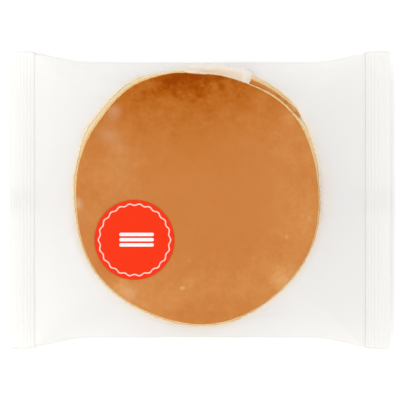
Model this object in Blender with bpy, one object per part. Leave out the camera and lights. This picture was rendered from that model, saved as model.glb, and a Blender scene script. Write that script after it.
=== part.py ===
"""A sealed film pack of three pancakes, lying flat, with a round sticker on its upper film.

The pack is a flow wrap: a tube of film, closed along its back by a flattened fin and at both ends by crimped seals.
The stack inside pulls the tube's middle narrower than its flat ends. The whole pack is one solid here, the outer
form of the film over what it holds, and the sticker is another.

X runs along the pack from end seal to end seal, Y across it and Z up. The origin is under the pack's middle, on the
surface that it lies on. Lengths are in metres.
"""

import math

import bmesh
import bpy
from mathutils import Vector

MM = 0.001

# The stack inside, which gives the film its form
PANCAKE_THICKNESS = 6.1 * MM
PANCAKE_COUNT = 3
STACK_CENTRE = Vector((-1.3 * MM, 1.3 * MM))
RIM_RADIUS = 59.8 * MM
# Each wave of the uneven rim: its count round the rim, its height as a share of the radius, and where it peaks
RIM_WAVES = (
    (2, 0.016, math.radians(92)),
    (3, 0.005, math.radians(14)),
    (4, 0.010, math.radians(36)),
)
CROWN = 0.5 * MM
RIM_ROUNDING = 0.9 * MM
RIM_SHARPNESS = 14

# The film pack
PACK_LENGTH = 182 * MM
FLAT_WIDTH = 142.4 * MM
WAIST_WIDTH = 132.6 * MM
FLARE_START = 54.5 * MM
FLARE_END = 84.5 * MM
WAIST_FOLD_HEIGHT = 8.5 * MM
UPPER_SAG = 1.35
LOWER_SAG = 1.7

# The crimped seals at both ends
SEAL_LENGTH = 11 * MM
SEAL_THICKNESS = 0.5 * MM
SEAL_HEIGHT = 6.5 * MM
SEAL_DROOP = 1.5 * MM
RIDGES = 7
RIDGE_HEIGHT = 0.3 * MM

# The fin of the long back seam, pressed flat under the pack
FIN_WIDTH = 11 * MM
FIN_THICKNESS = 0.4 * MM
FIN_OVERLAP = 0.6 * MM

# The sticker
LABEL_RADIUS = 19 * MM
LABEL_CENTRE = Vector((-31.2 * MM, -19 * MM))
LABEL_THICKNESS = 0.3 * MM
TOUCHING_GAP = 0.3 * MM

# How finely the surfaces are divided
SIDE_STEPS = 32
END_STEPS = 24
FIN_STEPS = 24
OUTER_RINGS = (0.82, 0.64, 0.48, 0.34, 0.22, 0.12, 0.05, 0.0)
INNER_RINGS = (0.96, 0.9, 0.78, 0.6, 0.35, 0.12)
LABEL_STEPS = 72
LABEL_RINGS = (0.75, 0.5, 0.25, 0.02)

SEAL_ROOT = PACK_LENGTH / 2 - SEAL_LENGTH
FLOOR_TO_FILM = FIN_THICKNESS
STACK_TOP = FLOOR_TO_FILM + PANCAKE_COUNT * PANCAKE_THICKNESS


def smooth_step(t):
    """0 below 0, 1 above 1 and a smooth rise between them."""
    t = min(max(t, 0.0), 1.0)
    return t * t * (3 - 2 * t)


def half_width(x):
    """Half the pack's width: the waist, which flares to the flat tube's width at the ends."""
    flare = smooth_step((abs(x) - FLARE_START) / (FLARE_END - FLARE_START))
    return (WAIST_WIDTH + (FLAT_WIDTH - WAIST_WIDTH) * flare) / 2


def rim_radius(spoke):
    """Radius of the stack's rim in the direction of a spoke from its centre."""
    angle = math.atan2(spoke.y, spoke.x)
    waves = sum(share * math.cos(count * (angle - peak)) for count, share, peak in RIM_WAVES)
    return RIM_RADIUS * (1 + waves)


def fold_height(x):
    """Height of the line where the upper and the lower film meet, at the sides and through the end seals."""
    blend = smooth_step(abs(x) / SEAL_ROOT)
    droop = SEAL_DROOP * max(abs(x) - SEAL_ROOT, 0.0) / SEAL_LENGTH
    return WAIST_FOLD_HEIGHT + (SEAL_HEIGHT - WAIST_FOLD_HEIGHT) * blend - droop


def crimp(x):
    """Offset of the end seal's ridges, which run across the pack."""
    along = max(abs(x) - SEAL_ROOT, 0.0) / SEAL_LENGTH
    return RIDGE_HEIGHT / 2 * (math.cos(2 * math.pi * RIDGES * along) - 1)


def crown_height(share):
    """Height of the upper film over the stack, where share is 0 at its centre and 1 at the rim."""
    return STACK_TOP - CROWN * share**2 - RIM_ROUNDING * share**RIM_SHARPNESS


def upper_height(out, edge):
    """Height of the upper film outside the rim: out is 0 at the rim and 1 at the fold, whose height is edge."""
    return edge + (crown_height(1.0) - edge) * (1 - out) ** UPPER_SAG


def lower_height(out, edge):
    """Height of the lower film, which lies flat under the stack and then rises to the fold."""
    return FLOOR_TO_FILM + (edge - FLOOR_TO_FILM) * out**LOWER_SAG


def outline_points():
    """The two end seals' roots and the two side folds between them, anticlockwise, as points in plan."""
    root_half = half_width(SEAL_ROOT)
    across = [root_half * (2 * i / END_STEPS - 1) for i in range(END_STEPS)]
    along = [SEAL_ROOT * (1 - 2 * i / SIDE_STEPS) for i in range(SIDE_STEPS)]
    points = [Vector((SEAL_ROOT, y)) for y in across]
    points += [Vector((x, half_width(x))) for x in along]
    points += [Vector((-SEAL_ROOT, -y)) for y in across]
    points += [Vector((-x, -half_width(x))) for x in along]
    return points


def next_loop(bm, loop, places):
    """Joins a closed loop of vertices by quads to a new loop at the given places."""
    verts = [bm.verts.new(place) for place in places]
    for i, vert in enumerate(loop):
        j = (i + 1) % len(loop)
        bm.faces.new((vert, loop[j], verts[j], verts[i]))
    return verts


def add_sheet(bm, loop, points, offset, over_stack, beyond_stack):
    """Fills the fold's loop with rings that follow the stack's rim: the upper film, or the lower one."""
    edges = [fold_height(point.x) + offset for point in points]
    spokes = [point - STACK_CENTRE for point in points]
    for out in OUTER_RINGS:
        places = []
        for spoke, edge in zip(spokes, edges):
            reach = rim_radius(spoke) + (spoke.length - rim_radius(spoke)) * out
            plan = STACK_CENTRE + spoke.normalized() * reach
            places.append((plan.x, plan.y, beyond_stack(out, edge)))
        loop = next_loop(bm, loop, places)
    for share in INNER_RINGS:
        places = []
        for spoke in spokes:
            plan = STACK_CENTRE + spoke.normalized() * rim_radius(spoke) * share
            places.append((plan.x, plan.y, over_stack(share)))
        loop = next_loop(bm, loop, places)
    centre = bm.verts.new((STACK_CENTRE.x, STACK_CENTRE.y, over_stack(0.0)))
    for i, vert in enumerate(loop):
        bm.faces.new((vert, loop[(i + 1) % len(loop)], centre))


def add_end_seal(bm, faces, sign):
    """Draws the fold's end faces out to the cut edge, in half ridges that make the crimp."""
    steps = 2 * RIDGES
    height = fold_height(SEAL_ROOT)
    for step in range(1, steps + 1):
        made = bmesh.ops.extrude_face_region(bm, geom=faces)["geom"]
        bmesh.ops.delete(bm, geom=faces, context="FACES_ONLY")
        x = SEAL_ROOT + SEAL_LENGTH * step / steps
        rise = fold_height(x) + crimp(x) - height
        height += rise
        for vert in (piece for piece in made if isinstance(piece, bmesh.types.BMVert)):
            vert.co.y *= half_width(x) / half_width(vert.co.x)
            vert.co.x = sign * x
            vert.co.z += rise
        faces = [piece for piece in made if isinstance(piece, bmesh.types.BMFace)]


def build_film_pack():
    """The sealed pack as one solid: the upper and lower film with all that they hold between them."""
    bm = bmesh.new()
    points = outline_points()
    half = SEAL_THICKNESS / 2
    low = [bm.verts.new((p.x, p.y, fold_height(p.x) - half)) for p in points]
    high = next_loop(bm, low, [(p.x, p.y, fold_height(p.x) + half) for p in points])
    add_sheet(bm, high, points, half, crown_height, upper_height)
    add_sheet(bm, low, points, -half, lambda share: FLOOR_TO_FILM, lower_height)
    for sign in (1, -1):
        at_end = [f for f in bm.faces if all(abs(v.co.x - sign * SEAL_ROOT) < 0.01 * MM for v in f.verts)]
        add_end_seal(bm, at_end, sign)
    bmesh.ops.recalc_face_normals(bm, faces=bm.faces)
    return bm


def lower_film_at(x):
    """Height of the lower film along the pack's middle line."""
    side = math.copysign(1.0, x)
    spoke = Vector((x - STACK_CENTRE.x, 0.0))
    rim = rim_radius(spoke)
    room = abs(side * SEAL_ROOT - STACK_CENTRE.x) - rim
    out = min(max((spoke.length - rim) / room, 0.0), 1.0)
    return lower_height(out, fold_height(x) - SEAL_THICKNESS / 2) + crimp(x)


def build_back_fin():
    """The long seam's fin, as a ribbon from cut edge to cut edge whose upper half reaches into the pack."""
    inside = [SEAL_ROOT * i / FIN_STEPS for i in range(FIN_STEPS + 1)]
    sealed = [SEAL_ROOT + SEAL_LENGTH * i / (2 * RIDGES) for i in range(1, 2 * RIDGES + 1)]
    half_run = inside + sealed
    run = [-x for x in reversed(half_run[1:])] + half_run
    bm = bmesh.new()
    rows = []
    for x in run:
        film = lower_film_at(x)
        over = film + (SEAL_THICKNESS / 2 if abs(x) > inside[-2] else FIN_OVERLAP)
        corners = ((-1, film - FIN_THICKNESS), (1, film - FIN_THICKNESS), (1, over), (-1, over))
        rows.append([bm.verts.new((x, side * FIN_WIDTH / 2, z)) for side, z in corners])
    for row, following in zip(rows, rows[1:]):
        for i in range(4):
            j = (i + 1) % 4
            bm.faces.new((row[i], row[j], following[j], following[i]))
    bm.faces.new(rows[0])
    bm.faces.new(rows[-1])
    bmesh.ops.recalc_face_normals(bm, faces=bm.faces)
    return bm


def build_label():
    """The round sticker, a thin disc that follows the film's crown."""

    def over_film(share, angle, lift):
        plan = LABEL_CENTRE + Vector((math.cos(angle), math.sin(angle))) * LABEL_RADIUS * share
        spoke = plan - STACK_CENTRE
        film = crown_height(spoke.length / rim_radius(spoke))
        return (plan.x, plan.y, film + TOUCHING_GAP + lift)

    angles = [2 * math.pi * i / LABEL_STEPS for i in range(LABEL_STEPS)]
    bm = bmesh.new()
    low = [bm.verts.new(over_film(1.0, angle, 0.0)) for angle in angles]
    high = next_loop(bm, low, [over_film(1.0, angle, LABEL_THICKNESS) for angle in angles])
    for loop, lift in ((low, 0.0), (high, LABEL_THICKNESS)):
        for share in LABEL_RINGS:
            loop = next_loop(bm, loop, [over_film(share, angle, lift) for angle in angles])
        bm.faces.new(loop)
    bmesh.ops.recalc_face_normals(bm, faces=bm.faces)
    return bm


def material(name, colour, roughness):
    """A plain finish with the part's colour and roughness."""
    made = bpy.data.materials.new(name)
    made.use_nodes = True
    shader = made.node_tree.nodes["Principled BSDF"]
    shader.inputs["Base Color"].default_value = (*colour, 1.0)
    shader.inputs["Roughness"].default_value = roughness
    shader.inputs["Metallic"].default_value = 0.0
    return made


def add_object(name, bm, finish):
    """Turns the mesh into a named object, shaded smooth with its sharp edges kept."""
    mesh = bpy.data.meshes.new(name)
    bm.to_mesh(mesh)
    bm.free()
    made = bpy.data.objects.new(name, mesh)
    bpy.context.scene.collection.objects.link(made)
    mesh.materials.append(finish)
    mesh.shade_smooth()
    mesh.set_sharp_from_angle(angle=math.radians(35))
    return made


def fuse(target, other):
    """Joins the other solid to the target by a Boolean union, and removes it."""
    union = target.modifiers.new("fuse", "BOOLEAN")
    union.operation = "UNION"
    union.object = other
    graph = bpy.context.evaluated_depsgraph_get()
    fused = bpy.data.meshes.new_from_object(target.evaluated_get(graph))
    target.modifiers.clear()
    target.data = fused
    bpy.data.objects.remove(other)


def main():
    for old in list(bpy.data.objects):
        bpy.data.objects.remove(old)
    film = material("film", (0.86, 0.85, 0.82), 0.45)
    sticker = material("sticker", (1.0, 0.045, 0.011), 0.4)
    pack = add_object("film_pack", build_film_pack(), film)
    fuse(pack, add_object("back_fin", build_back_fin(), film))
    add_object("label", build_label(), sticker)


main()
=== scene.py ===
# %% [markdown]
# # A sealed pack of pancakes
#
# The real object is a flow wrap: a tube of milky film with a stack of pancakes in it, crimped shut at both
# ends, with a round red sticker on top. The CAD solid gives the size and the outer form, and this script
# gives the looks: film that a simulation drapes, pancakes under it and a printed sticker. Everything is in
# metres, with Z up and the pack's length along X.

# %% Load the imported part
import math

import bmesh
import bpy
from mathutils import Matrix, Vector
from mathutils.bvhtree import BVHTree


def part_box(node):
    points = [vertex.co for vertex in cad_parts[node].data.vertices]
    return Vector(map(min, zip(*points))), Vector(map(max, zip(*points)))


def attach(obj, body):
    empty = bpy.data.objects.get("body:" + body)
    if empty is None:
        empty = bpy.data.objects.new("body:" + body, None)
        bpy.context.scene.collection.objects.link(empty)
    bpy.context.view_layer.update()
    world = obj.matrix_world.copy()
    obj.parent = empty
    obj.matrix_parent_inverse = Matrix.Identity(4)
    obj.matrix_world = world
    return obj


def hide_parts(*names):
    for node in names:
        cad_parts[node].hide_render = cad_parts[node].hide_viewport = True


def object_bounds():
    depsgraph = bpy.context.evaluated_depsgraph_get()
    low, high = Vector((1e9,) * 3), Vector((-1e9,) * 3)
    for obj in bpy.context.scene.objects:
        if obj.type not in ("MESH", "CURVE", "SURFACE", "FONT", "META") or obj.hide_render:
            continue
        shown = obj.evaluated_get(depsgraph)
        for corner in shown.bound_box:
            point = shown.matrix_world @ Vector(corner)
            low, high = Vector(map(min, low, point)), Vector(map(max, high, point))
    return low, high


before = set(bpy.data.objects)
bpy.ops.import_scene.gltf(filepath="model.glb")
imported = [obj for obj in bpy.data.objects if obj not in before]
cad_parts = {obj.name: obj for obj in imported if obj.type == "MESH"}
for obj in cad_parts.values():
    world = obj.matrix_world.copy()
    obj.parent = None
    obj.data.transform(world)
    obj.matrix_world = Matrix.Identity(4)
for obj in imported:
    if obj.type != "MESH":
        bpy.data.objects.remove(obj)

MM = 0.001
cad_low, cad_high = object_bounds()
film_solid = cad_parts["film_pack"]
label_low, label_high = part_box("label")
print("CAD box in mm:", [round(side / MM, 1) for side in cad_high - cad_low])

# %% [markdown]
# ## Working by hand, in code
#
# Blender's operators act on whatever is selected, just as they do under the mouse. So the first helpers are
# about selecting: nothing before a new piece is added, one object alone, and then, in edit mode, the points
# that lie where we want them.


# %% Select objects and points
def select(piece, *others):
    """Selects these objects only. The first one is active."""
    bpy.ops.object.select_all(action="DESELECT")
    for one in (piece, *others):
        one.select_set(True)
    bpy.context.view_layer.objects.active = piece


def add_piece(name, primitive, **settings):
    """Adds a primitive by its operator, with nothing else selected, and names it."""
    bpy.ops.object.select_all(action="DESELECT")
    primitive(**settings)
    piece = bpy.context.object
    piece.name = name
    return piece


def edit(piece, action="DESELECT", kind="VERT"):
    """Opens edit mode on one object and selects nothing or, for SELECT, all of it."""
    select(piece)
    bpy.ops.object.mode_set(mode="EDIT")
    bpy.ops.mesh.select_mode(type=kind)
    bpy.ops.mesh.select_all(action=action)


def pick(piece, wanted):
    """In edit mode, selects only the points whose place passes the test, and counts them."""
    bpy.ops.mesh.select_all(action="DESELECT")
    points = bmesh.from_edit_mesh(piece.data)
    for vert in points.verts:
        if not vert.hide and wanted(vert.co):
            vert.select_set(True)
    points.select_flush_mode()
    bmesh.update_edit_mesh(piece.data)
    return sum(vert.select for vert in points.verts)


def done():
    """Goes back to object mode."""
    bpy.ops.object.mode_set(mode="OBJECT")


def add_grid(name, columns, rows, length, width):
    """Adds a flat grid at the origin and stretches it in edit mode, which stays open."""
    primitive = bpy.ops.mesh.primitive_grid_add
    grid = add_piece(name, primitive, x_subdivisions=columns, y_subdivisions=rows, size=1)
    edit(grid, "SELECT")
    bpy.ops.transform.resize(value=(length, width, 1))
    return grid


# %% Move, modify and remember
def pull(way, reach, falloff="SMOOTH"):
    """Moves what is selected in edit mode, and takes what is within reach along with it."""
    bpy.ops.transform.translate(
        value=way, use_proportional_edit=True, proportional_edit_falloff=falloff, proportional_size=reach
    )


def modify(piece, kind, **settings):
    """Adds a modifier, gives it its settings and applies it."""
    select(piece)
    modifier = piece.modifiers.new(kind.lower(), kind)
    for name, value in settings.items():
        setattr(modifier, name, value)
    bpy.ops.object.modifier_apply(modifier=modifier.name)


def remember(piece, name, numbers):
    """Keeps one number for each point of a piece, as an attribute of its mesh."""
    kept = piece.data.attributes.get(name) or piece.data.attributes.new(name, "FLOAT", "POINT")
    kept.data.foreach_set("value", numbers)


def smooth_share(value, low, high):
    """0 up to low, 1 from high on and smooth between them."""
    t = min(max((value - low) / (high - low), 0.0), 1.0)
    return t * t * (3 - 2 * t)


bpy.ops.object.select_all(action="DESELECT")
print("nothing is selected now:", not bpy.context.selected_objects)

# %% [markdown]
# ## A camera straight above
#
# The pack is seen from right above, so the camera looks straight down. A long lens from far away keeps the
# sides of the stack out of sight. The view is 191 mm wide, which leaves a thin white margin round the 182 mm
# pack.

# %% Camera
VIEW_WIDTH = 191.2 * MM
VIEW_LEVEL = 10 * MM
CAMERA_HEIGHT = 2.4
SENSOR = 36.0

bpy.ops.object.camera_add(location=(0, 0, CAMERA_HEIGHT), rotation=(0, 0, 0))
camera = bpy.context.object
camera.data.sensor_width = SENSOR
camera.data.lens = SENSOR * (CAMERA_HEIGHT - VIEW_LEVEL) / VIEW_WIDTH
camera.data.clip_end = 20
bpy.context.scene.camera = camera
print("lens in mm:", round(camera.data.lens, 1))

# %% [markdown]
# ## Soft studio light
#
# A pack shot on white is lit from all round by pale walls and soft boxes, with one stronger box on the left,
# so that forms show. Straight above it is darker, because the camera hangs there, and so the flat film shows
# no glare. A world with a ramp over the height at which you look gives the first part, and one large area
# light gives the stronger box. The floor is plain and pale.

# %% World, soft box and floor
WALL = 1.02
SOFT_WALL = 1.5
OVERHEAD = 0.4
SKY_STOPS = ((0.0, WALL), (0.2, WALL), (0.35, SOFT_WALL), (0.82, SOFT_WALL), (0.96, OVERHEAD))
SKY_TINT = (1.0, 0.995, 0.99)
BOX_PLACE = Vector((-0.6, -0.05, 0.92))
BOX_SIDE = 0.6
BOX_POWER = 2.6
FLOOR_LEVEL = -0.3 * MM
FLOOR_SIDE = 9.0

world = bpy.data.worlds.new("studio")
world.use_nodes = True
bpy.context.scene.world = world
sky = world.node_tree
look = sky.nodes.new("ShaderNodeTexCoord")
parts = sky.nodes.new("ShaderNodeSeparateXYZ")
ring = sky.nodes.new("ShaderNodeValToRGB")
while len(ring.color_ramp.elements) < len(SKY_STOPS):
    ring.color_ramp.elements.new(0.5)
for element, (place, level) in zip(ring.color_ramp.elements, SKY_STOPS):
    element.position = place
    element.color = (*(level * channel for channel in SKY_TINT), 1.0)
sky.links.new(look.outputs["Generated"], parts.inputs["Vector"])
sky.links.new(parts.outputs["Z"], ring.inputs["Fac"])
sky.links.new(ring.outputs["Color"], sky.nodes["Background"].inputs["Color"])

towards_pack = (-BOX_PLACE).to_track_quat("-Z", "Y").to_euler()
bpy.ops.object.light_add(type="AREA", location=BOX_PLACE, rotation=towards_pack)
soft_box = bpy.context.object
soft_box.data.size = BOX_SIDE
soft_box.data.energy = BOX_POWER

floor = add_piece("floor", bpy.ops.mesh.primitive_plane_add, size=FLOOR_SIDE, location=(0, 0, FLOOR_LEVEL))
bpy.ops.object.transform_apply()
bpy.context.scene.view_settings.view_transform = "Standard"
print("the soft box stands", round(BOX_PLACE.length, 2), "m from the pack")

# %% [markdown]
# ## Pancakes
#
# A pancake is batter that spread on a hot plate: a flat round with two browned faces and a pale side that
# bulges. Its outline is a circle with a few slow waves and bumps. If we spun a profile, every ring would be a
# true circle. So we start with one wavy ring, fill it with a grid for the underside, extrude its border ring
# by ring, out, up the side and in over the top, and scale each new ring. The top gets a grid too, and then
# the whole round gets a slight crown.

# %% The sizes of a pancake
RIM_STEPS = 128
STACK_FOOT = 0.55 * MM
PANCAKE_THICKNESS = 5.65 * MM
BETWEEN = 0.08 * MM
CROWN = 0.5 * MM
CROWN_MIDDLE = 5 * MM

# Each wave of an outline: its count round the rim, its height as a share of the radius, and where it peaks
TOP_WAVES = ((2, 0.016, 92), (3, 0.005, 14), (4, 0.010, 36), (5, 0.005, -20), (6, 0.006, -21))
MIDDLE_WAVES = ((2, 0.010, 50), (3, 0.006, 50))
LOWEST_WAVES = ((2, 0.006, 20), (3, 0.005, 220))

# Each bump of an outline: where it is and how far it reaches to each side, in degrees, and its height as a
# share of the radius, below zero for a dent
TOP_BUMPS = ((90, 11, -0.013), (120, 13, 0.010), (140, 11, -0.009), (168, 22, 0.009), (24, 14, -0.004))

# The rings of the side: how far each lies beyond the browned edge, as a share of the bulge, and how high, as
# a share of the thickness
SIDE_RINGS = ((0.0, 0.07), (0.3, 0.12), (0.75, 0.26), (1.0, 0.46), (0.95, 0.64), (0.7, 0.80))
EDGE_RINGS = ((0.16 * MM, 0.895), (0.0, 0.925))
# How far inside the browned edge each ring of a face lies. The faces are level, but for the first ring, which
# rounds the edge.
FACE_RINGS = (0.5 * MM, 1.4 * MM, 3 * MM, 5.5 * MM, 8.5 * MM)
FIRST_UNDER = 0.03
FIRST_OVER = 0.975


def outline(shape, angle):
    """The outline's radius at an angle, as a share of its mean."""
    waves, bumps = shape
    share = 1 + sum(height * math.cos(count * (angle - math.radians(peak))) for count, height, peak in waves)
    for peak, reach, height in bumps:
        off = abs((math.degrees(angle) - peak + 180) % 360 - 180) / reach
        share += height * math.cos(off * math.pi / 2) ** 2 if off < 1 else 0
    return share


def pancake_rings(brown, bulge):
    """Every ring from the underside to the top: radius, and height as a share of the thickness."""
    first = FACE_RINGS[0]
    under = [(brown - inset, FIRST_UNDER if inset == first else 0.0) for inset in reversed(FACE_RINGS)]
    side = [(brown + bulge * out, rise) for out, rise in SIDE_RINGS]
    edge = [(brown + out, rise) for out, rise in EDGE_RINGS]
    over = [(brown - inset, FIRST_OVER if inset == first else 1.0) for inset in FACE_RINGS]
    return under + side + edge + over


print("rings up the side of a pancake:", len(SIDE_RINGS) + len(EDGE_RINGS))

# %% The stack
ON_THE_EDGE = 0.05 * MM

# Each pancake from the lowest: its name, its middle, the radius of its browned faces, how far its side bulges
# and its outline
STACK = (
    ("pancake_lowest", Vector((-2.0, -1.7)) * MM, 59.8 * MM, 1.2 * MM, (LOWEST_WAVES, ())),
    ("pancake_middle", Vector((0.9, 1.4)) * MM, 60.2 * MM, 1.5 * MM, (MIDDLE_WAVES, ())),
    ("pancake_top", Vector((-1.3, 1.3)) * MM, 59.35 * MM, 0.7 * MM, (TOP_WAVES, TOP_BUMPS)),
)
plans = {name: (centre, brown, shape) for name, centre, brown, _, shape in STACK}


def beyond(name, place):
    """How far a place lies outside a pancake's browned edge, seen from above. Inside it is negative."""
    centre, brown, shape = plans[name]
    spoke = place.xy - centre
    return spoke.length - brown * outline(shape, math.atan2(spoke.y, spoke.x))


def next_ring(grow, rise, centre):
    """Extrudes the selected ring upward and scales the new one about the pancake's middle."""
    bpy.ops.mesh.extrude_region_move(TRANSFORM_OT_translate={"value": (0, 0, rise)})
    bpy.ops.transform.resize(value=(grow, grow, 1), center_override=(centre.x, centre.y, 0))


def turn_pancake(level, name, centre, brown, bulge, shape):
    """Builds the pancake at this level of the stack, 0 for the lowest, and marks its browned faces."""
    foot = STACK_FOOT + level * (PANCAKE_THICKNESS + BETWEEN)
    rings = pancake_rings(brown, bulge)
    radius, rise = rings[0]
    place = (centre.x, centre.y, foot)
    circle = bpy.ops.mesh.primitive_circle_add
    piece = add_piece(name, circle, vertices=RIM_STEPS, radius=radius, location=place)
    bpy.ops.object.transform_apply()
    edit(piece)
    points = bmesh.from_edit_mesh(piece.data)
    for vert in points.verts:
        spoke = vert.co.xy - centre
        vert.co.xy = centre + spoke * outline(shape, math.atan2(spoke.y, spoke.x))
    bmesh.update_edit_mesh(piece.data)
    bpy.ops.mesh.select_all(action="SELECT")
    bpy.ops.mesh.fill_grid(span=RIM_STEPS // 4)
    bpy.ops.mesh.select_all(action="SELECT")
    bpy.ops.mesh.region_to_loop()
    for next_radius, next_rise in rings[1:]:
        next_ring(next_radius / radius, PANCAKE_THICKNESS * (next_rise - rise), centre)
        radius, rise = next_radius, next_rise
    bpy.ops.mesh.fill_grid(span=RIM_STEPS // 4)
    bpy.ops.mesh.select_mode(type="VERT")
    pick(piece, lambda place: (place.xy - centre).length < CROWN_MIDDLE)
    pull((0, 0, CROWN * (level + 1) / len(STACK)), brown)
    bpy.ops.mesh.select_all(action="SELECT")
    bpy.ops.mesh.normals_make_consistent(inside=False)
    done()
    outside = [beyond(name, vert.co) for vert in piece.data.vertices]
    remember(piece, "crust", [1.0 if distance < ON_THE_EDGE else 0.0 for distance in outside])
    return piece


pancakes = [turn_pancake(level, *facts) for level, facts in enumerate(STACK)]
lowest_pancake, middle_pancake, top_pancake = pancakes
lowest_centre, middle_centre, top_centre = (facts[1] for facts in STACK)
print("points in each pancake:", [len(piece.data.vertices) for piece in pancakes])

# %% [markdown]
# ## Where the batter ran
#
# The pale side bulges out further in some places, where the batter ran on before it set. By hand you would
# hide the browned faces, take one point of the side and pull it outward with proportional editing. Hidden
# points stay where they are, so the browned edge keeps its line.

# %% Pull the pale side out
SAME_PLACE = 0.01 * MM
# How much more the angle counts than the distance when a pull looks for its point
AIM = 1000

# Each pull: at which angle in degrees, how far out and with which reach in mm
TOP_PULLS = (
    (141, 1.9, 24),
    (152, 1.0, 15),
    (133, 0.9, 4),
    (117, 1.4, 18),
    (172, 0.7, 18),
    (24, 1.2, 20),
    (35, 1.5, 8),
    (52, 0.6, 16),
)
MIDDLE_PULLS = ((240, 0.8, 20),)
LOWEST_PULLS = ((211, 0.7, 18), (340, 0.9, 22))


def pull_side(piece, centre, pulls):
    """Each pull takes the point that shows best at an angle outward, with the side within its reach."""
    edit(piece)
    points = bmesh.from_edit_mesh(piece.data)
    crust = points.verts.layers.float["crust"]
    for vert in points.verts:
        beside = any(edge.other_vert(vert)[crust] > 0.5 for edge in vert.link_edges)
        vert.select_set(vert[crust] > 0.5 or beside)
    bmesh.update_edit_mesh(piece.data)
    bpy.ops.mesh.hide(unselected=False)
    middle = centre.to_3d()
    for degrees, out, reach in pulls:
        way = Vector((math.cos(math.radians(degrees)), math.sin(math.radians(degrees)))).to_3d()
        shown = [vert.co for vert in points.verts if not vert.hide]
        tip = max(shown, key=lambda place: (place - middle).normalized().dot(way) * AIM + place.length).copy()
        pick(piece, lambda place: (place - tip).length < SAME_PLACE)
        pull(way * (out * MM), reach * MM)
        points = bmesh.from_edit_mesh(piece.data)
    bpy.ops.mesh.reveal(select=False)
    done()


def from_middle(place):
    """How far a place lies from the top pancake's middle, seen from above."""
    return (place.xy - top_centre).length


pull_side(top_pancake, top_centre, TOP_PULLS)
pull_side(middle_pancake, middle_centre, MIDDLE_PULLS)
pull_side(lowest_pancake, lowest_centre, LOWEST_PULLS)
widest = max(from_middle(vert.co) for vert in top_pancake.data.vertices)
print("the top pancake reaches", round(widest / MM, 1), "mm from its middle")

# %% [markdown]
# ## The rim that curls up
#
# At the upper right the second pancake shows as a thin crescent beside the top one. Its rim curls up there,
# close under the film. We pull the rim's points up with a short reach, so that all but the rim stays flat.

# %% Curl the second pancake's rim
# Each lift: from and to which angle in degrees, and how far up. They add up.
CURL_LIFTS = ((30, 96, 1.8 * MM), (38, 86, 1.6 * MM), (46, 78, 1.0 * MM))
CURL_REACH = 5.0 * MM
CURL_IN = -1.6 * MM
CURL_ABOVE = 8 * MM


def angle_from(centre, place):
    """Angle of a place round a centre, in degrees."""
    return math.degrees(math.atan2(place.y - centre.y, place.x - centre.x))


def on_rim(start, end):
    """A test for the places on the second pancake's rim between two angles."""
    return lambda place: start < angle_from(middle_centre, place) < end and (
        beyond("pancake_middle", place) > CURL_IN and place.z > CURL_ABOVE
    )


edit(middle_pancake)
for start, end, rise in CURL_LIFTS:
    lifted = pick(middle_pancake, on_rim(start, end))
    pull((0, 0, rise), CURL_REACH)
    print("points of the rim lifted:", lifted)
done()

# %% [markdown]
# ## The film bag, before it is draped
#
# The bag is one tube of film, pressed flat and closed at both ends. We take two grids, an upper and a lower
# one, and remember each point's flat place, because film doesn't stretch and the simulation needs its flat
# size. Then every point goes to the CAD solid's surface, found by a ray from above or below, and the borders
# halfway between the two, where they are merged into one closed bag.

# %% Measure the CAD solid
FLAT_WIDTH = 142.4 * MM
WAIST_WIDTH = 132.6 * MM
FLARE_START = 54.5 * MM
FLARE_END = 84.5 * MM
SEAL_LENGTH = 11 * MM
SEAL_ROOT = cad_high.x - SEAL_LENGTH
RAY_START = 0.1
DOWN = Vector((0, 0, -1))
RAY_INSET = 0.3 * MM

film_form = BVHTree.FromPolygons(
    [vert.co for vert in film_solid.data.vertices], [face.vertices for face in film_solid.data.polygons]
)


def half_width(x):
    """Half the pack's width: the waist that the stack pulls in, which flares to the flat ends."""
    return (WAIST_WIDTH + (FLAT_WIDTH - WAIST_WIDTH) * smooth_share(abs(x), FLARE_START, FLARE_END)) / 2


def solid_height(x, y, side):
    """Height of the CAD solid's surface, seen from above for side 1 and from below for side -1."""
    y = max(min(y, half_width(x) - RAY_INSET), RAY_INSET - half_width(x))
    x = max(min(x, cad_high.x - RAY_INSET), cad_low.x + RAY_INSET)
    hit = film_form.ray_cast(Vector((x, y, side * RAY_START)), Vector((0, 0, -side)))[0]
    return hit.z


def middle_height(x, y):
    """The height halfway through the CAD solid."""
    return (solid_height(x, y, 1) + solid_height(x, y, -1)) / 2


print("height at the middle of an end seal:", round(middle_height(cad_high.x, 0) / MM, 2), "mm")

# %% Two grids that take the solid's form
FILM_LENGTH = 164.2 * MM
FILM_CELL = 1.75 * MM
UNDER_FILM = 0.4 * MM
MERGE_WITHIN = 0.02 * MM
# Near the fin the border takes its height from a place clear of it
BESIDE_FIN = 8 * MM
CLEAR_OF_FIN = 12 * MM


def on_border(place):
    """A test for the ends and side folds of the bag."""
    return abs(place.x) > SEAL_ROOT - SAME_PLACE or abs(place.y) > half_width(place.x) - SAME_PLACE


def film_sheet(name, side):
    """A grid of film on one side of the bag, in the solid's form, with its flat place remembered."""
    columns = round(2 * SEAL_ROOT / FILM_CELL)
    rows = round(FLAT_WIDTH / FILM_CELL)
    sheet = add_grid(name, columns, rows, FILM_LENGTH, FLAT_WIDTH)
    done()
    flat = sheet.data.attributes.new("flat_place", "FLOAT_VECTOR", "POINT")
    for vert in sheet.data.vertices:
        flat.data[vert.index].vector = vert.co
        x = vert.co.x * 2 * SEAL_ROOT / FILM_LENGTH
        y = vert.co.y * 2 * half_width(x) / FLAT_WIDTH
        z = solid_height(x, y, side)
        if on_border(Vector((x, y))):
            z = middle_height(x, y if abs(y) > BESIDE_FIN else CLEAR_OF_FIN)
        vert.co = (x, y, max(z, UNDER_FILM))
    return sheet


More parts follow.
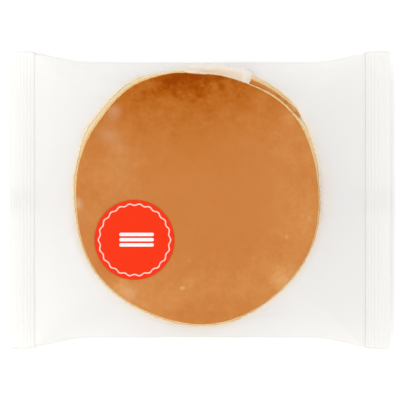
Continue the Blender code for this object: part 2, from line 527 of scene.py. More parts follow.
upper = film_sheet("film_bag", 1)
lower = film_sheet("film_lower", -1)
select(upper, lower)
bpy.ops.object.join()
film_bag = bpy.context.object
edit(film_bag)
border = pick(film_bag, on_border)
bpy.ops.mesh.remove_doubles(threshold=MERGE_WITHIN)
bpy.ops.mesh.select_all(action="SELECT")
bpy.ops.mesh.normals_make_consistent(inside=False)
done()
print("film points:", len(film_bag.data.vertices), "of which merged on the border:", border // 2)

# %% [markdown]
# ## Draping the film
#
# Cloth simulation lets the film find its own way over the stack. Blender's cloth keeps things at least a
# millimetre apart, which is too coarse for film, so the bag and the stack are blown up ten times for it and
# shrunk again. The flat place gives the rest shape. The end lines, the side folds and the film under the
# stack are held. So is the film where the second pancake shows, just over its rim, because it clings there.

# %% Hold the film where it is held
WRAP_GAP = 0.25 * MM
UPPER_SHEET = 7 * MM
FLAT_UNDER = 1 * MM
HELD_UNDER = 55 * MM
# The strip that clings: its angles in degrees, its inner and outer radius, its soft border and its gap
CLING_FROM = 27
CLING_FULL = 43
CLING_TO = 65.5
CLING_IN = 60.2 * MM
CLING_OUT = 64.1 * MM
CLING_BORDER = 0.9 * MM
CLING_GAP = 0.3 * MM


def cling_reach(angle):
    """How far out the film clings, at an angle in degrees. The strip tapers at its lower end."""
    return CLING_IN + (CLING_OUT - CLING_IN) * smooth_share(angle, CLING_FROM, CLING_FULL)


def surface_of(*pieces):
    """A search tree of the pieces' faces together, as they are now."""
    places = []
    faces = []
    for piece in pieces:
        start = len(places)
        places += [vert.co.copy() for vert in piece.data.vertices]
        faces += [[start + index for index in face.vertices] for face in piece.data.polygons]
    return BVHTree.FromPolygons(places, faces)


stack_form = surface_of(*pancakes)
for piece in pancakes:
    modify(film_bag, "SHRINKWRAP", target=piece, wrap_mode="OUTSIDE", offset=WRAP_GAP)

held = []
clinging = []
for vert in film_bag.data.vertices:
    outward = from_middle(vert.co)
    angle = angle_from(top_centre, vert.co)
    in_strip = CLING_IN < outward < cling_reach(angle) - CLING_BORDER
    if on_border(vert.co) or (vert.co.z < FLAT_UNDER and outward < HELD_UNDER):
        held.append(vert.index)
    elif vert.co.z > UPPER_SHEET and in_strip and CLING_FROM < angle < CLING_TO:
        vert.co.z = stack_form.ray_cast(vert.co, DOWN)[0].z + CLING_GAP
        clinging.append(vert.index)
pins = film_bag.vertex_groups.new(name="held")
pins.add(held + clinging, 1.0, "REPLACE")
print("held points:", len(held), "and clinging to the second rim:", len(clinging))

# %% Drape it
BLOW_UP = 10
DRAPE_FRAMES = 40
CLOTH_GAP = 0.15 * MM


def add_rest_shape(piece):
    """Gives the film its remembered flat shape as a shape key."""
    select(piece)
    piece.shape_key_add(name="Basis")
    key = piece.shape_key_add(name="flat")
    flat = piece.data.attributes["flat_place"]
    for index, point in enumerate(key.data):
        point.co = flat.data[index].vector * BLOW_UP
    key.value = 0.0
    return key


def resize_mesh(piece, factor):
    """Scales an object's mesh about the origin."""
    edit(piece, "SELECT")
    bpy.ops.transform.resize(value=(factor, factor, factor), center_override=(0, 0, 0))
    done()


def add_obstacle(piece):
    """A blown-up copy of a piece that the cloth can't pass."""
    select(piece)
    bpy.ops.object.duplicate()
    obstacle = bpy.context.object
    resize_mesh(obstacle, BLOW_UP)
    bpy.ops.object.modifier_add(type="COLLISION")
    obstacle.collision.thickness_outer = CLOTH_GAP * BLOW_UP
    obstacle.collision.cloth_friction = 1.0
    obstacle.collision.damping = 0.5
    return obstacle


def drape(piece, pins, frames):
    """Runs the cloth on a blown-up bag, keeps the last frame's shape and shrinks it back."""
    resize_mesh(piece, BLOW_UP)
    rest = add_rest_shape(piece)
    obstacles = [add_obstacle(pancake) for pancake in pancakes]
    select(piece)
    bpy.ops.object.modifier_add(type="CLOTH")
    cloth = piece.modifiers[-1]
    film = cloth.settings
    film.quality = 8
    film.mass = 0.2
    film.air_damping = 2.0
    film.tension_stiffness = film.compression_stiffness = 80
    film.shear_stiffness = 40
    film.tension_damping = film.compression_damping = film.shear_damping = 15
    film.bending_model = "ANGULAR"
    film.bending_stiffness = 0.4
    film.bending_damping = 1.0
    film.vertex_group_mass = pins.name
    film.rest_shape_key = rest
    film.effector_weights.gravity = 0.3
    cloth.collision_settings.distance_min = CLOTH_GAP * BLOW_UP
    cloth.collision_settings.collision_quality = 3
    cloth.collision_settings.use_self_collision = False
    cloth.point_cache.frame_start = 1
    cloth.point_cache.frame_end = frames
    scene = bpy.context.scene
    scene.frame_start = 1
    scene.frame_end = frames
    for frame_number in range(1, frames + 1):
        scene.frame_set(frame_number)
    select(piece)
    bpy.ops.object.convert(target="MESH")
    for obstacle in obstacles:
        bpy.data.objects.remove(obstacle)
    resize_mesh(piece, 1 / BLOW_UP)
    scene.frame_set(1)


drape(film_bag, pins, DRAPE_FRAMES)
print("film reaches", round(max(vert.co.z for vert in film_bag.data.vertices) / MM, 2), "mm high")

# %% [markdown]
# ## The pancakes' fine surface
#
# Now that the film is draped over the plain rounds, they get their real surface. Subdivision smooths them,
# and a displacement by cloud noise makes them slightly uneven, as batter bakes. The pale side gets deeper
# pores, through a vertex group that leaves the browned faces out. Three attributes are kept for the finish:
# where the crust is, where the side bulges out furthest, along which the crumb is painted lighter to offset
# the shade under the film, and how brown this pancake is baked, which for the middle one is also painted
# paler to offset the shade beside the top one.

# %% Uneven faces and porous sides
FACE_RELIEF = 0.16 * MM
FACE_GRAIN = 4.5 * MM
SIDE_RELIEF = 0.55 * MM
SIDE_GRAIN = 1.3 * MM
PORE_LEVEL = 0.62
# How far to each side of the browned edge brown turns to pale
TOASTED_EDGE = 0.4 * MM
# How far beyond that edge the crumb starts to be painted lighter, against the shade under the film,
# and where it is lightest
SHADE_LIFT_FROM = 0.5 * MM
SHADE_LIFT_FULL = 1.6 * MM
# How much browner or paler than the top one each pancake is baked. The middle one's is also painted
# paler, to offset the shade where it shows beside the top one.
BAKED_AND_SHADE_LIFT = {"pancake_lowest": -0.1, "pancake_middle": -0.36, "pancake_top": 0.0}


def cloud_texture(name, size):
    """A cloud noise for displacement."""
    texture = bpy.data.textures.new(name, "CLOUDS")
    texture.noise_scale = size
    texture.noise_depth = 2
    return texture


face_noise = cloud_texture("face_noise", FACE_GRAIN)
side_noise = cloud_texture("side_noise", SIDE_GRAIN)


def refine_pancake(piece):
    """Subdivides a pancake and gives it its relief."""
    modify(piece, "SUBSURF", levels=2, render_levels=2)
    outside = [beyond(piece.name, vert.co) for vert in piece.data.vertices]
    pale = [smooth_share(distance, -TOASTED_EDGE, TOASTED_EDGE) for distance in outside]
    remember(piece, "crust", [1 - share for share in pale])
    # How brown this pancake is baked, and for the middle one painted paler against the shade beside the top
    # one
    remember(piece, "baked_and_shade_lift", [BAKED_AND_SHADE_LIFT[piece.name]] * len(outside))
    # Where the side bulges out, along which the crumb is painted lighter against the shade under the film
    remember(piece, "bulge", [smooth_share(distance, SHADE_LIFT_FROM, SHADE_LIFT_FULL) for distance in outside])
    group = piece.vertex_groups.new(name="pale_side")
    for index, share in enumerate(pale):
        group.add([index], share, "REPLACE")
    modify(piece, "DISPLACE", texture=face_noise, texture_coords="LOCAL", strength=FACE_RELIEF, mid_level=0.5)
    pores = {"strength": SIDE_RELIEF, "mid_level": PORE_LEVEL, "vertex_group": "pale_side"}
    modify(piece, "DISPLACE", texture=side_noise, texture_coords="LOCAL", **pores)
    select(piece)
    bpy.ops.object.shade_smooth()


for piece in pancakes:
    refine_pancake(piece)
    print(piece.name, "has", len(piece.data.polygons), "faces")

# %% [markdown]
# ## Film that clings, film that stands off
#
# After the drape the bag is subdivided once, and its rim over the stack once more. Where it lies on the
# pancakes it is laid right on their fine surface, and it always touches the top one's shoulder, where it is
# tight. Along the top it passes over the second pancake's curled rim like a veil, without touching it, and at
# a few spots of the top face it stands off by a breath.
#
# Milky film is clear where it touches what it holds and turns white within a millimetre of it. So every point
# of the film keeps its distance to the nearest pancake, in millimetres, in an attribute for the finish.

# %% Finer film at the rim
RIM_IN = 56 * MM
RIM_OUT = 67 * MM
UPPER_FILM = 9 * MM

modify(film_bag, "SUBSURF", levels=1, render_levels=1)
edit(film_bag)
at_rim = pick(film_bag, lambda place: place.z > UPPER_FILM and RIM_IN < from_middle(place) < RIM_OUT)
bpy.ops.mesh.subdivide(number_cuts=1, smoothness=1.0)
done()
print("film points at the rim:", at_rim)

# %% Where the film clings, veils or stands off
# The veil: from and to which angle in degrees, over how many degrees it starts and ends, and how far out it
# goes, with its soft border
VEIL_FROM = 67
VEIL_TO = 96
VEIL_START = 1.5
VEIL_FADE = 9
VEIL_OUT = 64 * MM
VEIL_BORDER = 1.2 * MM
VEIL_EDGE = 0.35 * MM
# Its distance to what is under it, and how far it rises outward, from a line that moves in by the taper
VEIL_GAP = 0.62 * MM
VEIL_RISE = 2.2 * MM
RISE_LINE = 62.2 * MM
RISE_TAPER = 2.2 * MM
TAPER_FROM = VEIL_FROM + 3
TAPER_TO = VEIL_TO - 2
# Each loose spot of the top face: x, y and its reach in mm, and how far the film stands off there
LOOSE_SPOTS = (
    (-41, 42.5, 9, 0.082 * MM),
    (-46.5, 33, 10, 0.042 * MM),
    (-40, 29, 9, 0.03 * MM),
    (-59.5, -1.5, 6, 0.115 * MM),
    (-55.5, -10, 13, 0.05 * MM),
    (-38, 15, 44, 0.06 * MM),
    (-33, -45, 9, 0.085 * MM),
)


def clings(place):
    """How far the film clings to the second pancake's rim, from 0 to 1. The strip tapers."""
    angle = angle_from(top_centre, place)
    if place.z < UPPER_FILM or not CLING_FROM < angle < CLING_TO:
        return 0.0
    reach = cling_reach(angle)
    return 1 - smooth_share(from_middle(place), reach, reach + CLING_BORDER)


def veils(place):
    """How far the film is a veil over that rim, from 0 to 1. It shows the rim through a haze."""
    if place.z < UPPER_FILM or beyond("pancake_top", place) < VEIL_EDGE:
        return 0.0
    angle = angle_from(top_centre, place)
    begun = smooth_share(angle, VEIL_FROM - VEIL_START, VEIL_FROM)
    ended = smooth_share(angle, VEIL_TO - VEIL_FADE, VEIL_TO)
    return begun * (1 - ended) * (1 - smooth_share(from_middle(place), VEIL_OUT, VEIL_OUT + VEIL_BORDER))


def veil_gap(place):
    """The veil's distance to what is under it at a place."""
    line = RISE_LINE - RISE_TAPER * smooth_share(angle_from(top_centre, place), TAPER_FROM, TAPER_TO)
    return VEIL_GAP + VEIL_RISE * smooth_share(from_middle(place), line, line + RISE_TAPER)


def loose(place):
    """How far the film stands off the top face at a place, beyond its usual gap."""
    off = 0.0
    for x, y, spot_reach, rise in LOOSE_SPOTS:
        distance = (place.xy - Vector((x, y)) * MM).length
        off += rise * (1 - smooth_share(distance, 0, spot_reach * MM))
    return off


print("loose spots:", len(LOOSE_SPOTS))

# %% Lay the film on the stack
LAID_GAP = 0.09 * MM
# Film closer than this is laid on the pancake wholly, and further off than that not at all
LAID_WHERE = 0.5 * MM
LOOSE_WHERE = 0.9 * MM
TOP_SIDE_LEVEL = 14 * MM
SHOULDER_LEVEL = 16.8 * MM
SHOULDER_OUT = 1.2 * MM

stack_surface = surface_of(*pancakes)


def lay_film(piece):
    """Drops film over the top face onto it, and lays film that nearly touches a pancake on that one."""
    laid = 0
    for vert in piece.data.vertices:
        start = vert.co.copy()
        near, normal, _, distance = stack_surface.find_nearest(start)
        inside = (vert.co - near).dot(normal) < 0
        off_edge = beyond("pancake_top", vert.co)
        on_shoulder = vert.co.z > SHOULDER_LEVEL and off_edge < SHOULDER_OUT
        touches = max(clings(vert.co), 1 - smooth_share(distance, LAID_WHERE, LOOSE_WHERE))
        share = 1.0 if inside or on_shoulder else touches
        veil = veils(vert.co)
        if vert.co.z > TOP_SIDE_LEVEL and off_edge < 0:
            above = Vector((vert.co.x, vert.co.y, RAY_START))
            under = stack_surface.ray_cast(above, DOWN)[0]
            vert.co.z = under.z + LAID_GAP + loose(vert.co)
        elif veil > 0:
            vert.co = vert.co.lerp(near + normal * veil_gap(vert.co), veil)
        elif share > 0:
            vert.co = vert.co.lerp(near + normal * LAID_GAP, share)
        laid += vert.co != start
    return laid


print("points laid on the pancakes:", lay_film(film_bag))

# %% Pinch the film at the crescent's end
PINCH_ANGLE = math.radians(68)
PINCH_FROM = 60 * MM
PINCH_TO = 63 * MM
PINCH_HALF_WIDTH = 0.7 * MM
PINCH_RISE = 0.9 * MM
PINCH_REACH = 2.4 * MM


def at_pinch(place):
    """A test for the upper film's points on a short line that runs out from the stack's middle."""
    spoke = place.xy - top_centre
    beside = abs(spoke.x * math.sin(PINCH_ANGLE) - spoke.y * math.cos(PINCH_ANGLE))
    on_line = place.y > 0 and beside < PINCH_HALF_WIDTH
    return place.z > UPPER_FILM and on_line and PINCH_FROM < spoke.length < PINCH_TO


edit(film_bag)
pinched = pick(film_bag, at_pinch)
pull((0, 0, PINCH_RISE), PINCH_REACH, "SHARP")
done()
print("points pinched:", pinched)

# %% Measure the gap and remember it
FAR_OFF = 30.0
TOUCHING_GAP = 0.3

gaps = [stack_surface.find_nearest(vert.co)[3] / MM for vert in film_bag.data.vertices]
remember(film_bag, "gap", [min(gap, FAR_OFF) for gap in gaps])
select(film_bag)
bpy.ops.object.shade_smooth()
touching = sum(gap < TOUCHING_GAP for gap in gaps)
print("share of the film that touches a pancake:", round(touching / len(gaps), 2))

# %% [markdown]
# ## End seals
#
# Hot jaws with fine teeth press the tube shut at each end, and leave ridges that run across the pack. A grid
# does it: of every four rows of points one is raised and one is lowered, and subdivision rounds the teeth.
# The ridges are low, as on real film, and hardly show from above. Solidify gives the two welded films their
# thickness, which thins out where they join the bag.

# %% Crimped seals
SEAL_ROWS = 28
SEAL_COLUMNS = 72
SEAL_OVERLAP = 1.5 * MM
SEAL_LEVEL_AT = 30 * MM
TOOTH = 0.05 * MM
TOOTH_ROWS = 4
TEETH_FROM = SEAL_ROOT + 0.2 * MM
WELD_THICKNESS = 0.14 * MM
WELD_FROM = SEAL_ROOT - 0.9 * MM
WELD_FULL = SEAL_ROOT + 0.4 * MM
ROOT_THICKNESS = 0.02


def end_seal(name, sign):
    """The crimped seal at one end, from its root to the cut edge."""
    length = SEAL_LENGTH + SEAL_OVERLAP
    step = length / SEAL_ROWS
    seal = add_grid(name, SEAL_ROWS, SEAL_COLUMNS, length, FLAT_WIDTH)
    bpy.ops.transform.translate(value=(sign * (cad_high.x - length / 2), 0, 0))

    def in_turn(turn):
        return lambda place: abs(place.x) > TEETH_FROM and (
            round((cad_high.x - abs(place.x)) / step) % TOOTH_ROWS == turn
        )

    for turn, rise in ((1, TOOTH), (3, -TOOTH)):
        pick(seal, in_turn(turn))
        bpy.ops.transform.translate(value=(0, 0, rise))
    done()
    for vert in seal.data.vertices:
        vert.co.y *= 2 * half_width(vert.co.x) / FLAT_WIDTH
        vert.co.z += middle_height(vert.co.x, SEAL_LEVEL_AT)
    modify(seal, "SUBSURF", levels=1, render_levels=1)
    welded = seal.vertex_groups.new(name="welded")
    for vert in seal.data.vertices:
        welded.add([vert.index], smooth_share(abs(vert.co.x), WELD_FROM, WELD_FULL), "REPLACE")
    thinning = {"vertex_group": welded.name, "thickness_vertex_group": ROOT_THICKNESS}
    modify(seal, "SOLIDIFY", thickness=WELD_THICKNESS, offset=0.0, **thinning)
    remember(seal, "gap", [FAR_OFF] * len(seal.data.vertices))
    select(seal)
    bpy.ops.object.shade_smooth()
    return seal


seals = [end_seal("end_seal_left", -1), end_seal("end_seal_right", 1)]
print("faces in each seal:", [len(seal.data.polygons) for seal in seals])

# %% [markdown]
# ## The back seam's fin
#
# The tube is closed along the back by a fin, folded flat against the film. It is a long ribbon that follows
# the underside of the pack. It shows only when the pack is turned over.

# %% Back fin
FIN_WIDTH = 11 * MM
FIN_SHORTER = 0.4 * MM
FIN_THICKNESS = 0.2 * MM
FIN_GAP = 0.02 * MM
FIN_ROUNDING = 0.05 * MM
FIN_CELLS = 104
FIN_ROWS = 12
CRISP_ANGLE = math.radians(40)

fin = add_grid("back_fin", FIN_CELLS, FIN_ROWS, cad_high.x - cad_low.x - FIN_SHORTER, FIN_WIDTH)
done()
for vert in fin.data.vertices:
    vert.co.z = solid_height(vert.co.x, 0.0, -1) + FIN_THICKNESS / 2 + FIN_GAP
modify(fin, "SOLIDIFY", thickness=FIN_THICKNESS, offset=0.0)
modify(fin, "BEVEL", width=FIN_ROUNDING, segments=2, limit_method="ANGLE")
remember(fin, "gap", [FAR_OFF] * len(fin.data.vertices))
select(fin)
bpy.ops.object.shade_smooth_by_angle(angle=CRISP_ANGLE)
print("the fin is", round(fin.dimensions.x / MM, 1), "mm long")

# %% [markdown]
# ## The sticker
#
# A round paper sticker lies on the film. A filled circle has too few points to bend, so it gets inset rings
# first. Then it is projected down onto the film and thickened. The print is a wavy line near the rim and a
# small sign, three bars that stand for a stack. Both are thin meshes, so that they stay crisp when close.

# %% Paper disc
PAPER_THICKNESS = 0.12 * MM
PAPER_GAP = 0.06 * MM
STICKER_STEPS = 132
STICKER_RINGS = 9
ABOVE_LABEL = 5 * MM

sticker_centre = (label_low + label_high) / 2
sticker_radius = (label_high.x - label_low.x) / 2
above_label = Vector((sticker_centre.x, sticker_centre.y, label_high.z + ABOVE_LABEL))


def lay_down(piece, target, gap):
    """Drops a flat piece straight down onto the target and leaves it a gap above."""
    down = {"use_project_z": True, "use_negative_direction": True, "use_positive_direction": False}
    how = {"wrap_method": "PROJECT", "wrap_mode": "ABOVE_SURFACE", **down}
    modify(piece, "SHRINKWRAP", target=target, offset=gap, **how)


sticker = add_piece(
    "sticker",
    bpy.ops.mesh.primitive_circle_add,
    vertices=STICKER_STEPS,
    radius=sticker_radius,
    fill_type="NGON",
    location=above_label,
)
bpy.ops.object.transform_apply()
edit(sticker, "SELECT", "FACE")
for ring in range(STICKER_RINGS):
    bpy.ops.mesh.inset(thickness=sticker_radius / (STICKER_RINGS + 1))
bpy.ops.mesh.poke()
done()
lay_down(sticker, film_bag, PAPER_GAP)
modify(sticker, "SMOOTH", factor=0.5, iterations=30, use_x=False, use_y=False)
modify(sticker, "SOLIDIFY", thickness=PAPER_THICKNESS, offset=1.0)
select(sticker)
bpy.ops.object.shade_smooth_by_angle(angle=CRISP_ANGLE)
print("sticker across, in mm:", round(sticker.dimensions.x / MM, 2))

# %% Wavy line
RING_WAVES = 22
POINTS_PER_WAVE = 8
LINE_POINTS = RING_WAVES * POINTS_PER_WAVE
LINE_WIDTH = 0.62 * MM
LINE_MIDDLE = 16.85 * MM
WAVE_DEPTH = 0.42 * MM
INK = 0.04 * MM
INK_GAP = 0.02 * MM

inner = LINE_MIDDLE - LINE_WIDTH / 2
circle = bpy.ops.mesh.primitive_circle_add
wavy_line = add_piece("sticker_line", circle, vertices=LINE_POINTS, radius=inner, location=above_label)
bpy.ops.object.transform_apply()
edit(wavy_line, "SELECT")
bpy.ops.mesh.extrude_edges_move()
grow = (LINE_MIDDLE + LINE_WIDTH / 2) / inner
bpy.ops.transform.resize(value=(grow, grow, 1), center_override=sticker_centre)


def in_wave(point):
    """A test for the places at this point of every wave."""
    def wanted(place):
        step = round(angle_from(sticker_centre, place) * LINE_POINTS / 360)
        return step % POINTS_PER_WAVE == point

    return wanted


for point in range(POINTS_PER_WAVE):
    wave = 1 + WAVE_DEPTH / LINE_MIDDLE * math.cos(2 * math.pi * point / POINTS_PER_WAVE)
    pick(wavy_line, in_wave(point))
    bpy.ops.transform.resize(value=(wave, wave, 1), center_override=sticker_centre)
done()
modify(wavy_line, "SUBSURF", levels=1, render_levels=1)
lay_down(wavy_line, sticker, INK_GAP)
modify(wavy_line, "SOLIDIFY", thickness=INK, offset=1.0)
print("waves round the line:", RING_WAVES)

# %% Three bars
BAR_LENGTH = 16.4 * MM
BAR_HEIGHT = 1.6 * MM
BAR_ROUNDING = 0.45 * BAR_HEIGHT
BAR_STEP = 2.5 * MM
BAR_CUTS = 24
SIGN_SHIFT = Vector((1.0 * MM, 0.1 * MM, 0))

bars = []
for turn in (-1, 0, 1):
    place = above_label + SIGN_SHIFT + Vector((0, turn * BAR_STEP, 0))
    bars.append(add_piece("sticker_sign", bpy.ops.mesh.primitive_plane_add, size=1, location=place))
    bpy.ops.object.mode_set(mode="EDIT")
    bpy.ops.transform.resize(value=(BAR_LENGTH, BAR_HEIGHT, 1))
    bpy.ops.mesh.bevel(offset=BAR_ROUNDING, segments=5, affect="VERTICES")
    done()
    bpy.ops.object.transform_apply()
select(*bars)
bpy.ops.object.join()
sign = bpy.context.object
edit(sign, "SELECT", "FACE")
for cut in range(1, BAR_CUTS):
    bpy.ops.mesh.select_all(action="SELECT")
    across = Vector(((cut / BAR_CUTS - 0.5) * BAR_LENGTH, 0, 0))
    bpy.ops.mesh.bisect(plane_co=sticker_centre + across + SIGN_SHIFT, plane_no=(1, 0, 0))
done()
lay_down(sign, sticker, INK_GAP)
modify(sign, "SOLIDIFY", thickness=INK, offset=1.0)
print("the sign is", round(sign.dimensions.x / MM, 1), "by", round(sign.dimensions.y / MM, 1), "mm")

# %% [markdown]
# ## Finishes
#
# Each finish is a node tree on the standard shader. A few helpers keep the trees short: one adds a node, one
# links or sets a socket, and one turns a colour as a paint program shows it into the linear numbers that
# Blender wants.


# %% Colours
STUDIO_LIGHT = 1.41
FILM_LIGHT = 1.0


def linear(value):
    """One channel from 0 to 255, as paint programs have it, to linear light."""
    value /= 255
    return value / 12.92 if value <= 0.04045 else ((value + 0.055) / 1.055) ** 2.4


def seen(red, green, blue, light=STUDIO_LIGHT):
    """The surface colour that looks like this where it gets this much light."""
    return (*(linear(channel) / light for channel in (red, green, blue)), 1.0)


print("a white that looks like 255 has the colour", round(seen(255, 255, 255)[0], 2))


# %% Helpers for finishes
class Finish:
    """A material with a Principled shader, and short ways to add nodes to it."""

    def __init__(self, name):
        self.material = bpy.data.materials.new(name)
        self.material.use_nodes = True
        self.tree = self.material.node_tree
        self.shader = self.tree.nodes["Principled BSDF"]
        self.place = self.add("TexCoord", "Object")

    def put(self, node, name, value):
        """Links or sets one input, named or, as in_0, numbered."""
        index = int(name[3:]) if name.startswith("in_") else name.replace("_", " ")
        if isinstance(value, bpy.types.NodeSocket):
            self.tree.links.new(value, node.inputs[index])
        else:
            node.inputs[index].default_value = value

    def add(self, kind, output, settings=None, **inputs):
        """Adds a node with its settings and inputs, and gives back one of its outputs."""
        made = self.tree.nodes.new("ShaderNode" + kind)
        for name, value in (settings or {}).items():
            setattr(made, name, value)
        for name, value in inputs.items():
            self.put(made, name, value)
        return made.outputs[output]

    def wear(self, **inputs):
        """Links or sets inputs of the Principled shader."""
        for name, value in inputs.items():
            self.put(self.shader, name, value)

    def math(self, operation, first, second=0.0, third=0.0):
        """A math node's result."""
        return self.add("Math", "Value", {"operation": operation}, in_0=first, in_1=second, in_2=third)

    def smooth(self, value, low, high, start=0.0, end=1.0):
        """A smooth step of a value from one range to another."""
        inputs = {"Value": value, "From_Min": low, "From_Max": high, "To_Min": start, "To_Max": end}
        return self.add("MapRange", "Result", {"interpolation_type": "SMOOTHSTEP"}, **inputs)

    def noise(self, size, detail=2.0, stretch=(1, 1, 1)):
        """Soft noise from 0 to 1 whose features are about size across."""
        mapped = self.add("Mapping", "Vector", Vector=self.place, Scale=stretch)
        return self.add("TexNoise", "Fac", Vector=mapped, Scale=1 / size, Detail=detail)

    def spot(self, x, y, reach_x, reach_y):
        """1 in the middle of a soft oval spot, 0 at its border, at any height. All in mm."""
        inputs = {"Location": (x * MM, y * MM, 0), "Scale": (reach_x * MM, reach_y * MM, 100)}
        mapped = self.add("Mapping", "Vector", {"vector_type": "TEXTURE"}, Vector=self.place, **inputs)
        ball = self.add("TexGradient", "Fac", {"gradient_type": "SPHERICAL"}, Vector=mapped)
        return self.smooth(ball, 0.0, 1.0)

    def ramp(self, value, stops):
        """A colour ramp with these stops, each a place from 0 to 1 and a colour."""
        made = self.add("ValToRGB", "Color", Fac=value)
        elements = made.node.color_ramp.elements
        while len(elements) < len(stops):
            elements.new(0.5)
        for element, (place, colour) in zip(elements, stops):
            element.position = place
            element.color = colour
        return made

    def blend(self, share, first, second):
        """A mix of two colours."""
        return self.add("Mix", 2, {"data_type": "RGBA"}, in_0=share, in_6=first, in_7=second)

    def mix(self, share, first, second):
        """A mix of two shaders."""
        return self.add("MixShader", "Shader", in_0=share, in_1=first, in_2=second)

    def bump(self, height, strength, depth):
        """Lets the Principled shader's surface rise and fall with a height."""
        self.wear(Normal=self.add("Bump", "Normal", Strength=strength, Distance=depth, Height=height))

    def attribute(self, name):
        """A piece's own attribute."""
        return self.add("Attribute", "Fac", {"attribute_name": name})

    def cover(self, *pieces):
        """Gives these pieces this finish alone."""
        for piece in pieces:
            piece.data.materials.clear()
            piece.data.materials.append(self.material)


print("helpers are ready")

# %% [markdown]
# ## Browned crust and pale crumb
#
# The crust's colour comes from how brown it baked, a number from 0 for pale to 1 for dark. The middle
# pancake's number is also painted paler, to offset the shade where it shows beside the top one. Soft spots at
# listed places make it darkest at the top of the round and paler at the lower rim and in a few small places,
# and fine noise mottles it. A ramp turns the number into a colour. The `crust` attribute says where the crust
# ends, and noise makes that border a little ragged. The cream crumb beyond it is painted lighter outward,
# where the side bulges out, to offset the shade that the film casts on the side, and it glows a little,
# because light spreads in it.

# %% Browning
EVEN_BROWNING = 0.44
# Each patch: x, y and its reach in x and y in mm, and how much browner or paler it is
BROWNING = (
    (-8, 66, 110, 62, 0.46),
    (-40, 14, 24, 34, -0.12),
    (56, -4, 42, 70, -0.16),
    (-22, -52, 60, 40, -0.16),
    (38, -40, 26, 26, -0.16),
    (-36, -44, 14, 12, -0.24),
    (39, -38, 9, 9, -0.14),
    (42.5, 39, 7, 6, -0.26),
    (36, 31, 44, 16, -0.10),
    (-14, 55, 10, 7, 0.08),
    (-6, 59, 26, 5, 0.14),
    (-30, 47, 9, 9, 0.10),
    (29, 47, 8, 7, -0.14),
    (-50, 28, 8, 14, 0.10),
    (41, 46.8, 1.7, 1.7, 0.4),
    (37.6, 49.4, 1.6, 1.4, 0.3),
    (46, 41.5, 1.6, 1.6, 0.25),
    (-6, -54, 26, 10, 0.10),
    (10, -40, 26, 16, -0.06),
    (-8.4, -41.9, 1.9, 1.3, -0.5),
    (-5.1, -29, 1.6, 1.2, -0.16),
    (41.3, -17.5, 1.5, 2.2, -0.2),
)
BROWN_STOPS = (
    (0.0, seen(228, 168, 108)),
    (0.22, seen(215, 143, 78)),
    (0.42, seen(207, 131, 67)),
    (0.62, seen(201, 121, 53)),
    (0.80, seen(190, 106, 33)),
    (0.89, seen(175, 86, 9)),
    (1.0, seen(155, 66, 2)),
)
# Each mottling: the size of its blotches and how much browner they are. The middle of the round is calm.
MOTTLES = ((14 * MM, 0.30), (5 * MM, 0.34), (2.2 * MM, 0.20), (0.9 * MM, 0.12))
CALM_SPOT = (6, 2, 58, 52)
CALM_SHARE = 0.25

crust = Finish("pancake")
# Each pancake's own browning, painted paler for the middle one against the shade beside the top one
browning = crust.math("ADD", crust.attribute("baked_and_shade_lift"), EVEN_BROWNING)
for *patch, amount in BROWNING:
    browning = crust.math("MULTIPLY_ADD", crust.spot(*patch), amount, browning)
busy = crust.smooth(crust.spot(*CALM_SPOT), 0.1, 0.7, 1.0, CALM_SHARE)
for size, amount in MOTTLES:
    mottle = crust.math("SUBTRACT", crust.noise(size), 0.5)
    mottle = crust.math("MULTIPLY", mottle, busy)
    browning = crust.math("MULTIPLY_ADD", mottle, amount, browning)
brown = crust.ramp(browning, BROWN_STOPS)
print("browned patches:", len(BROWNING))

# %% Crumb, and the whole pancake finish
CREAM_STOPS = ((0.25, seen(230, 186, 120)), (0.5, seen(241, 207, 147)), (0.8, seen(247, 221, 171)))
# The lightest crumb, painted lighter to offset the shade that the film casts on the side
SHADE_LIFTED_CRUMB = seen(248, 226, 184)
CRUMB_PORES = 1.1 * MM
CRUMB_GLOW = 0.7
GLOW_DEPTH = 1.5 * MM
RAGGED_SIZE = 2.2 * MM
RAGGED = 0.7
SKIN_DEPTH = 0.12 * MM

cream = crust.ramp(crust.noise(CRUMB_PORES, detail=3.0), CREAM_STOPS)
# Painted light: the crumb turns lighter outward along the bulge, against the shade under the film
crumb = crust.blend(crust.attribute("bulge"), cream, SHADE_LIFTED_CRUMB)
ragged = crust.math("MULTIPLY_ADD", crust.noise(RAGGED_SIZE), RAGGED, -RAGGED / 2)
border = crust.math("ADD", crust.attribute("crust"), ragged)
is_crust = crust.smooth(border, 0.2, 0.8)
grain = crust.math("ADD", crust.noise(0.7 * MM, detail=3.0), crust.noise(2.4 * MM))
crust.bump(grain, 0.5, SKIN_DEPTH)
crust.wear(
    Base_Color=crust.blend(is_crust, crumb, brown),
    Roughness=crust.smooth(is_crust, 0.0, 1.0, 0.85, 0.6),
    Specular_IOR_Level=0.02,
    Subsurface_Weight=crust.smooth(is_crust, 0.0, 1.0, CRUMB_GLOW, 0.0),
    Subsurface_Scale=GLOW_DEPTH,
    Subsurface_Radius=(1.0, 0.55, 0.25),
)
crust.cover(*pancakes)
print("pancakes with this finish:", len(pancakes))

# %% [markdown]
# ## Milky film
#
# The film scatters light. Held against something it is clear, and within a millimetre it is a white haze, so
# its opacity follows the `gap` attribute, by a ramp. A second ramp colours the haze, warm close to the food
# and neutral off it, and this colour holds painted light: the warm glow stands for the pancakes' light
# scattered in the haze, the film is painted lighter where it leaves the food, to offset the shade there, and
# a few millimetres off it is a touch cooler, against the warm light that bounces from the pancakes. Part of
# the light goes through the film, which a Translucent shader does, and less of it close to the food, so that
# the border of the clear film isn't dark. At a slant you look through more film and it mirrors more, which
# the Layer Weight node adds. The surface is satin, with faint long ripples.

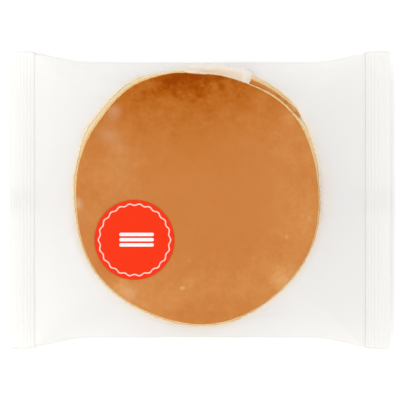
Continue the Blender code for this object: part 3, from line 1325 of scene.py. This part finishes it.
# %% Film finish
# Opacity and colour of the film by its distance to the nearest pancake, in mm
HAZE_STOPS = ((0.0, 0.0), (0.15, 0.001), (0.26, 0.45), (0.4, 0.85), (0.8, 0.94), (1.5, 0.96), (6.0, 0.97))
HAZE_SPAN = 6.0
# Painted light: warm and lighter by the food, for its glow in the haze and against the shade there
MILK_AND_PAINTED_LIGHT_STOPS = (
    (0.25, seen(250, 221, 172, FILM_LIGHT)),
    (0.55, seen(242, 221, 190, FILM_LIGHT)),
    (0.9, seen(239, 227, 209, FILM_LIGHT)),
    (1.5, seen(240, 234, 226, FILM_LIGHT)),
    (2.5, seen(238, 236, 234, FILM_LIGHT)),
    # A touch cooler a few mm off, against the warm light that bounces from the pancakes
    (4.0, seen(239, 239, 240, FILM_LIGHT)),
    (12.0, seen(239, 239, 238, FILM_LIGHT)),
    (28.0, seen(238, 237, 235, FILM_LIGHT)),
)
CLOUD_WHITE = seen(241, 240, 237, FILM_LIGHT)
CLOUD_SIZE = 26 * MM
CLOUD_SHARE = 0.35
RIPPLE_SIZE = 5 * MM
RIPPLE_DEPTH = 0.12 * MM
MIRROR_POWER = 4.0
MIRROR_SHARE = 0.2
# The share of its light that the film lets through, close to a pancake and off it, and where that changes
THROUGH_CLOSE = 0.15
THROUGH_OFF = 0.35
THROUGH_FROM = 0.3
THROUGH_TO = 0.7

film = Finish("film")
gap = film.attribute("gap")


def over_gap(stops, span):
    """A ramp over the distance to the nearest pancake, from 0 to span in mm."""
    share = film.math("DIVIDE", gap, span)
    return film.ramp(share, [(distance / span, colour) for distance, colour in stops])


haze = over_gap([(distance, (amount, amount, amount, 1.0)) for distance, amount in HAZE_STOPS], HAZE_SPAN)
slant = film.add("LayerWeight", "Facing", Blend=0.5)
mirror = film.math("MULTIPLY", film.math("POWER", slant, MIRROR_POWER), MIRROR_SHARE)
opacity = film.math("MINIMUM", film.math("ADD", haze, mirror), 1.0)
cloudy = film.math("MULTIPLY", film.noise(CLOUD_SIZE, detail=3.0), CLOUD_SHARE)
# The film's colour, with the painted light of its ramp over the gap
milk_and_painted_light = film.blend(cloudy, over_gap(MILK_AND_PAINTED_LIGHT_STOPS, FAR_OFF), CLOUD_WHITE)
film.wear(Base_Color=milk_and_painted_light, Roughness=0.36)
film.bump(film.noise(RIPPLE_SIZE, stretch=(0.25, 1, 1)), 0.25, RIPPLE_DEPTH)
through = film.add("BsdfTranslucent", "BSDF", Color=milk_and_painted_light)
through_share = film.smooth(gap, THROUGH_FROM, THROUGH_TO, THROUGH_CLOSE, THROUGH_OFF)
milky = film.mix(through_share, film.shader.outputs["BSDF"], through)
clear = film.add("BsdfTransparent", "BSDF")
shown = film.mix(opacity, clear, milky)
film.put(film.tree.nodes["Material Output"], "Surface", shown)
film.cover(film_bag, fin, *seals)
print("opacity from", HAZE_STOPS[0][1], "on the pancakes to", HAZE_STOPS[-1][1], "off them")

# %% [markdown]
# ## Sticker paper and ink
#
# The sticker is printed paper with a satin coat: a strong red with the faint unevenness of ink on paper, and
# white ink with a touch of the red under it. The floor gets a plain pale finish.


# %% Sticker and floor finishes
PRINT_GRAIN = 0.9 * MM


def printed(name, colour, uneven):
    """Smooth print with a faint unevenness."""
    made = Finish(name)
    faded = (*(channel * (1 - uneven) for channel in colour[:3]), 1.0)
    ink = made.blend(made.noise(PRINT_GRAIN), colour, faded)
    made.wear(Base_Color=ink, Roughness=0.42, Specular_IOR_Level=0.1)
    return made


printed("sticker_red", seen(255, 55, 14), 0.06).cover(sticker)
printed("sticker_line", seen(252, 218, 203), 0.04).cover(wavy_line)
printed("sticker_white", seen(255, 252, 250), 0.03).cover(sign)

floor_finish = Finish("floor")
floor_finish.wear(Base_Color=(0.97, 0.97, 0.965, 1.0), Roughness=0.9, Specular_IOR_Level=0.0)
floor_finish.cover(floor)
print("sticker and floor finishes are on")

# %% [markdown]
# ## The pieces on the part's body
#
# Every piece rides on the pack's one body, and the CAD solids that the pieces stand for are hidden.

# %% Tie the pieces to the part
for piece in (film_bag, fin, *seals, *pancakes):
    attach(piece, "root")
    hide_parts("film_pack")
for piece in (sticker, wavy_line, sign):
    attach(piece, "root")
    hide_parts("label")
